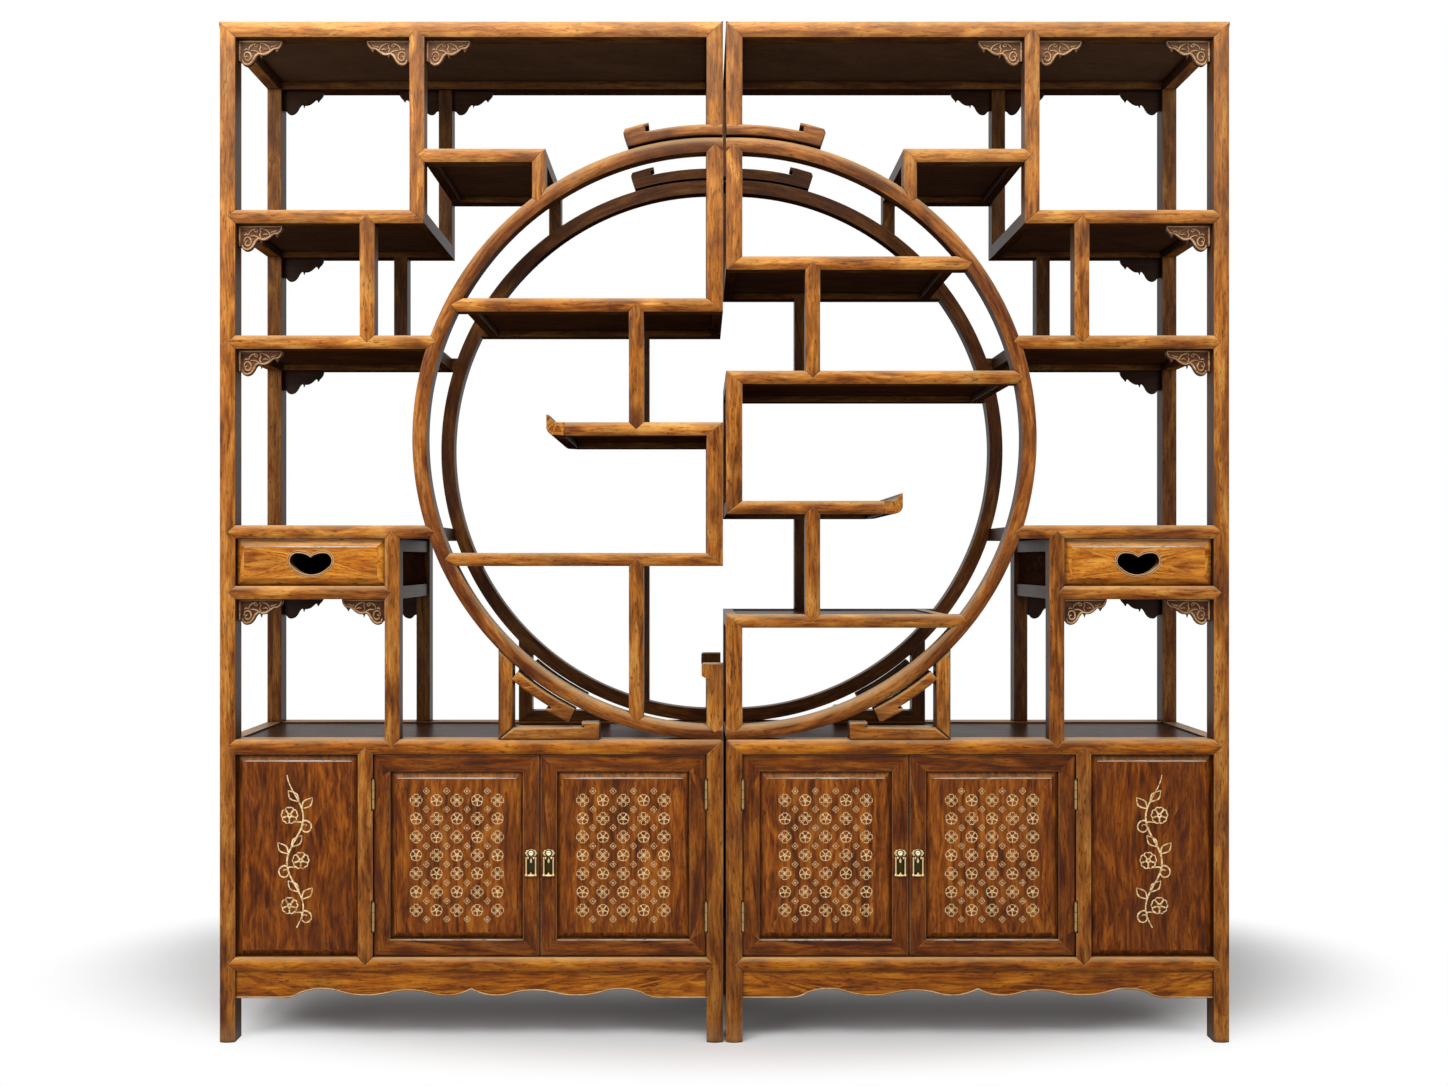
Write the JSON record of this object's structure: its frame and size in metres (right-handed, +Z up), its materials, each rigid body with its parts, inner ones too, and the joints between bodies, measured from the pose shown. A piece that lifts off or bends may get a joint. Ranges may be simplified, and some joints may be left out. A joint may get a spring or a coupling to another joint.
{
  "type": "book cabinet",
  "caption": "Pair of open hardwood display cabinets that form a round moon ring over closed cupboards, with hinged doors, brass pulls and small drawers.",
  "frame": {"origin": "centre of the bounding box at the floor", "axes": "+Z up, the front with the doors faces -Y, +X to the right seen from the front"},
  "size_m": [1.986, 0.35, 2],
  "materials": {
    "brass": "aged satin brass, darkened in the recesses",
    "wood_bent": "satin oiled hardwood, warm red-brown",
    "wood_board": "satin oiled hardwood, dark brown",
    "wood_door": "satin oiled hardwood, warm red-brown",
    "wood_inside": "plain oiled hardwood, dark brown",
    "wood_panel": "polished hardwood with fine grain",
    "wood_post": "satin oiled hardwood, warm red-brown",
    "wood_rail": "satin oiled hardwood, warm red-brown",
    "wood_side": "satin oiled hardwood, warm red-brown"
  },
  "bodies": {
    "cabinets": {"aprons": "wood_rail", "base_panels": "wood_panel", "corner_brackets": "wood_bent", "crown_hooks": "wood_bent", "frame_hinges": "brass", "left_base_rails": "wood_rail", "left_corner_posts": "wood_post", "left_cross_rails": "wood_side", "left_dividers": "wood_post", "left_drawer_case": "wood_inside", "left_drawer_shelf_rails": "wood_rail", "left_inner_posts": "wood_post", "left_middle_shelf_rails": "wood_rail", "left_ring_posts": "wood_post", "left_ring_shelf_rails": "wood_rail", "left_side_rails": "wood_side", "left_top_rails": "wood_rail", "left_upper_shelf_rails": "wood_rail", "moon_ring": "wood_bent", "right_base_rails": "wood_rail", "right_corner_posts": "wood_post", "right_cross_rails": "wood_side", "right_dividers": "wood_post", "right_drawer_case": "wood_inside", "right_drawer_shelf_rails": "wood_rail", "right_inner_posts": "wood_post", "right_middle_shelf_rails": "wood_rail", "right_ring_posts": "wood_post", "right_ring_shelf_rails": "wood_rail", "right_side_rails": "wood_side", "right_top_rails": "wood_rail", "right_upper_shelf_rails": "wood_rail", "scroll_ends": "wood_rail", "shelf_panels": "wood_board", "spandrels": "wood_bent", "top_panels": "wood_board"},
    "left_outer_door": {"left_outer_door_frame": "wood_door", "left_outer_door_panel": "wood_panel", "left_outer_door_fittings": "brass"},
    "left_outer_door_bail": {"left_outer_door_bail": "brass"},
    "left_inner_door": {"left_inner_door_frame": "wood_door", "left_inner_door_panel": "wood_panel", "left_inner_door_fittings": "brass"},
    "left_inner_door_bail": {"left_inner_door_bail": "brass"},
    "left_drawer": {"left_drawer_front": "wood_panel", "left_drawer_box": "wood_inside"},
    "right_outer_door": {"right_outer_door_frame": "wood_door", "right_outer_door_panel": "wood_panel", "right_outer_door_fittings": "brass"},
    "right_outer_door_bail": {"right_outer_door_bail": "brass"},
    "right_inner_door": {"right_inner_door_frame": "wood_door", "right_inner_door_panel": "wood_panel", "right_inner_door_fittings": "brass"},
    "right_inner_door_bail": {"right_inner_door_bail": "brass"},
    "right_drawer": {"right_drawer_front": "wood_panel", "right_drawer_box": "wood_inside"}
  },
  "joints": [
    {"name": "left_outer_door_hinge", "type": "hinge", "parent": "cabinets", "child": "left_outer_door", "pos_m": [-0.68875, -0.1698, 0.365], "axis": [0, 0, -1], "range_deg": [0, 105]},
    {"name": "left_inner_door_hinge", "type": "hinge", "parent": "cabinets", "child": "left_inner_door", "pos_m": [-0.03575, -0.1698, 0.365], "axis": [0, 0, 1], "range_deg": [0, 90]},
    {"name": "right_outer_door_hinge", "type": "hinge", "parent": "cabinets", "child": "right_outer_door", "pos_m": [0.68875, -0.1698, 0.365], "axis": [0, 0, 1], "range_deg": [0, 105]},
    {"name": "right_inner_door_hinge", "type": "hinge", "parent": "cabinets", "child": "right_inner_door", "pos_m": [0.03575, -0.1698, 0.365], "axis": [0, 0, -1], "range_deg": [0, 90]},
    {"name": "left_drawer_slide", "type": "slide", "parent": "cabinets", "child": "left_drawer", "axis": [0, -1, 0], "range_m": [0, 0.2]},
    {"name": "right_drawer_slide", "type": "slide", "parent": "cabinets", "child": "right_drawer", "axis": [0, -1, 0], "range_m": [0, 0.2]},
    {"name": "left_outer_bail_turn", "type": "hinge", "parent": "left_outer_door", "child": "left_outer_door_bail", "pos_m": [-0.3795, -0.1705, 0.3606], "axis": [-1, 0, 0], "range_deg": [0, 70]},
    {"name": "left_inner_bail_turn", "type": "hinge", "parent": "left_inner_door", "child": "left_inner_door_bail", "pos_m": [-0.345, -0.1705, 0.3606], "axis": [-1, 0, 0], "range_deg": [0, 70]},
    {"name": "right_outer_bail_turn", "type": "hinge", "parent": "right_outer_door", "child": "right_outer_door_bail", "pos_m": [0.3795, -0.1705, 0.3606], "axis": [-1, 0, 0], "range_deg": [0, 70]},
    {"name": "right_inner_bail_turn", "type": "hinge", "parent": "right_inner_door", "child": "right_inner_door_bail", "pos_m": [0.345, -0.1705, 0.3606], "axis": [-1, 0, 0], "range_deg": [0, 70]}
  ]
}
